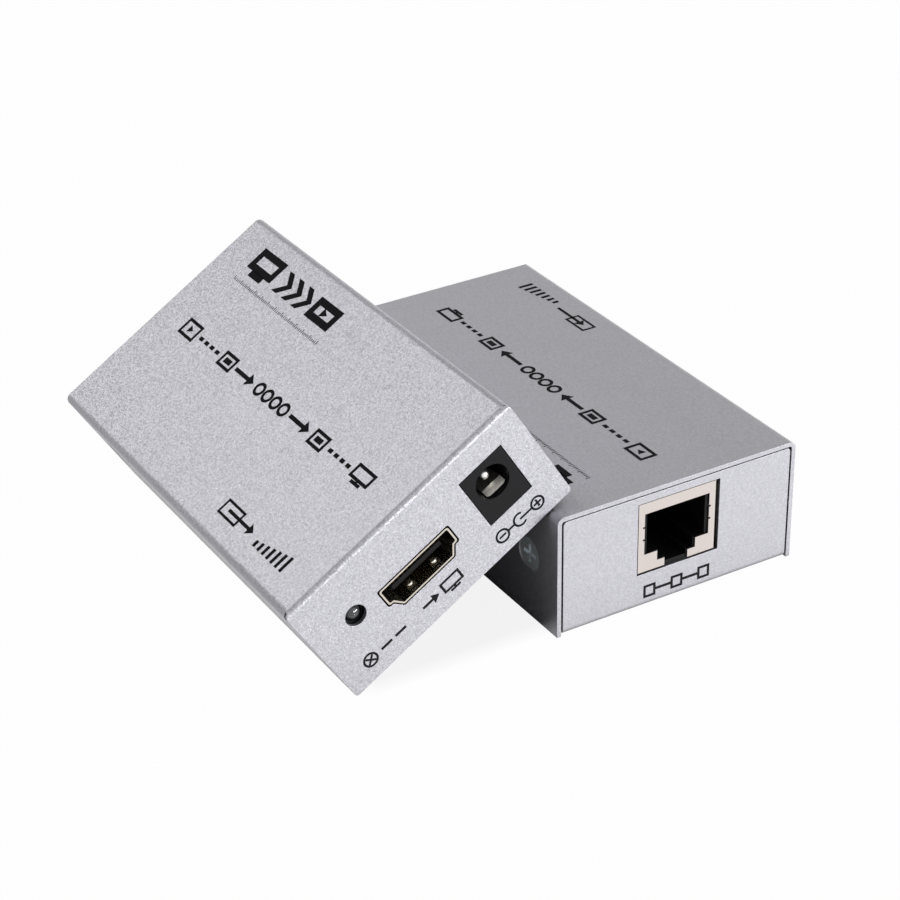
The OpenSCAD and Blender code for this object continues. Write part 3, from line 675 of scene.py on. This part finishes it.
def role_sign(way):
    """A case with an arrow out of it, or into it, and bars beside it."""
    low, height, line = -19.7, 3.1, 0.48
    case_left, case_w = 11.6, 6.0
    arrow_left, arrow_l, arrow_line, head = 13.6, 8.6, 0.62, 1.6
    bar_left, bar_step, bar_w, bar_count = 24.2, 1.5, 0.72, 7
    lowest_share, share_step = 0.4, 0.1
    shapes = [
        frame_of(case_left, low, case_w, height, line),
        arrow(arrow_left, low + height / 2, arrow_l, arrow_line, head, way),
    ]
    heights = [height * (lowest_share + share_step * i) for i in range(bar_count)]
    return shapes + [bar(bar_left + bar_step * i, low, bar_w, bar_h) for i, bar_h in enumerate(heights)]


def lamp_sign():
    """Ring with a slanted cross, and two short bars."""
    x, y, r, line = -18.6, 3.8, 1.45, 0.4
    cross_r, cross_line = 1.0, 0.38
    bar_lefts, bar_w, bar_h = (-16.2, -13.1), 2.3, 0.52
    shapes = [ring(x, y, r, line), cross_mark(x, y, cross_r, cross_line, 45)]
    return shapes + [bar(left, y - bar_h / 2, bar_w, bar_h) for left in bar_lefts]


def video_sign(way):
    """A screen with an arrow into it, or out of it."""
    shapes = screen(left=-2.6, low=2.2, width=4.2, height=3.0, line=0.44)
    return shapes + [arrow(left=-6.9, y=3.9, length=3.6, line=0.52, head=1.4, way=way)]


def power_sign():
    """The sign for a jack with its plus at the centre pin."""
    y, r, line = 3.3, 1.4, 0.4
    minus_x, pin_x, plus_x = 10.6, 14.5, 18.4
    mark_line, minus_w, plus_r = 0.38, 1.5, 0.8
    outer, inner = (arc(pin_x, y, reach, start=50, sweep=260, steps=24) for reach in (r, r - line))
    return [
        ring(minus_x, y, r, line),
        ring(plus_x, y, r, line),
        bar(minus_x - minus_w / 2, y - mark_line / 2, minus_w, mark_line),
        cross_mark(plus_x, y, plus_r, mark_line, 0),
        bar(minus_x + r, y - line / 2, pin_x - minus_x - 2 * r, line),
        bar(pin_x, y - line / 2, plus_x - pin_x - r, line),
        filled(outer + inner[::-1]),
    ]


def network_sign():
    """Squares joined by a cable."""
    y, side, line, cable, step = 3.05, 2.5, 0.48, 0.52, 5.6
    squares = [frame_of(step * i - side / 2, y - side / 2, side, side, line) for i in (-1, 0, 1)]
    return squares + [bar(step * i + side / 2, y - cable / 2, step - side, cable) for i in (-1, 0)]


# For each face of a unit, the directions across and up it as it is read, and the way out to it
FACES = {
    "top": ((1, 0, 0), (0, 1, 0), (0, 0, CASE_H)),
    "video_panel": ((0, 1, 0), (0, 0, 1), (CASE_L / 2, 0, 0)),
    "network_panel": ((0, -1, 0), (0, 0, 1), (-CASE_L / 2, 0, 0)),
}


def face_place(unit, face):
    """The place of a face: two axes lie in the face as it is read, and the third points out of it."""
    across, up, out = (Vector(axis) for axis in FACES[face])
    turn = Matrix((across, up, out.normalized())).transposed().to_4x4()
    return PLACES[unit] @ Matrix.Scale(MM, 4) @ Matrix.Translation(out) @ turn


def print_prism(points, verts, faces):
    """A closed flat prism over one outline."""
    start, count = len(verts), len(points)
    verts += [(x, y, z) for z in (0, INK_T) for x, y in points]
    faces.append([start + i for i in range(count)][::-1])
    faces.append([start + count + i for i in range(count)])
    for i in range(count):
        j = (i + 1) % count
        faces.append([start + i, start + j, start + count + j, start + count + i])


def print_band(outer, inner, verts, faces):
    """A closed flat band between two outlines with as many points."""
    start, count = len(verts), len(outer)
    verts += [(x, y, z) for z in (0, INK_T) for line in (outer, inner) for x, y in line]
    for i in range(count):
        j = (i + 1) % count
        corners = [[start + k * count + n for n in (i, j)] for k in range(4)]
        (oi, oj), (ii, ij), (ti, tj), (ui, uj) = corners
        faces += [[oi, ii, ij, oj], [ti, tj, uj, ui], [oi, oj, tj, ti], [ii, ui, uj, ij]]


def make_print(unit, face, name, shapes):
    verts, faces = [], []
    for kind, *outlines in shapes:
        draw = print_prism if kind == "filled" else print_band
        draw(*outlines, verts, faces)
    mesh = bpy.data.meshes.new(f"{unit}_{name}")
    mesh.from_pydata(verts, [], faces)
    mesh.transform(face_place(unit, face))
    mesh.validate()
    mesh.materials.append(INK)
    piece = add_object(f"{unit}_{name}", mesh)
    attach(piece, unit)


def make_prints():
    for unit, way in UNITS.items():
        prints = (
            ("top", "bold_mark", bold_mark(way)),
            ("top", "fine_scale", fine_scale()),
            ("top", "chain_line", chain_line()),
            ("top", "role_sign", role_sign(way)),
            ("video_panel", "lamp_sign", lamp_sign()),
            ("video_panel", "video_sign", video_sign(way)),
            ("video_panel", "power_sign", power_sign()),
            ("network_panel", "network_sign", network_sign()),
        )
        for face, name, shapes in prints:
            make_print(unit, face, name, shapes)


def make_domes():
    """A polished contact dome on the crest of each spring finger."""
    low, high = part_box("receiver_video_shell")
    # The receiver is turned half round, so its own second axis runs the other way
    middle, ceiling = -(low.y + high.y) / 2 / MM, high.z / MM
    heights = (ceiling - SHELL_H + DOME_RISE, ceiling - DOME_RISE)
    size = Matrix.Diagonal((*DOME_SIZE, 1))
    for unit in UNITS:
        domes = bmesh.new()
        for side in (-1, 1):
            for z in heights:
                place = Matrix.Translation((CASE_L / 2 - DOME_INSET, middle + side * DOME_SPACE, z))
                bmesh.ops.create_uvsphere(
                    domes, u_segments=DOME_SEGMENTS, v_segments=DOME_RINGS, radius=1,
                    matrix=PLACES[unit] @ Matrix.Scale(MM, 4) @ place @ size)
        mesh = bpy.data.meshes.new(f"{unit}_finger_domes")
        domes.to_mesh(mesh)
        domes.free()
        mesh.shade_smooth()
        mesh.materials.append(MATERIALS["dome_metal"])
        piece = add_object(f"{unit}_finger_domes", mesh)
        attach(piece, unit)


dress_nodes()
make_prints()
make_domes()
make_camera()
make_lamps()
make_world()
make_floor()
bpy.context.scene.view_settings.view_transform = "Standard"
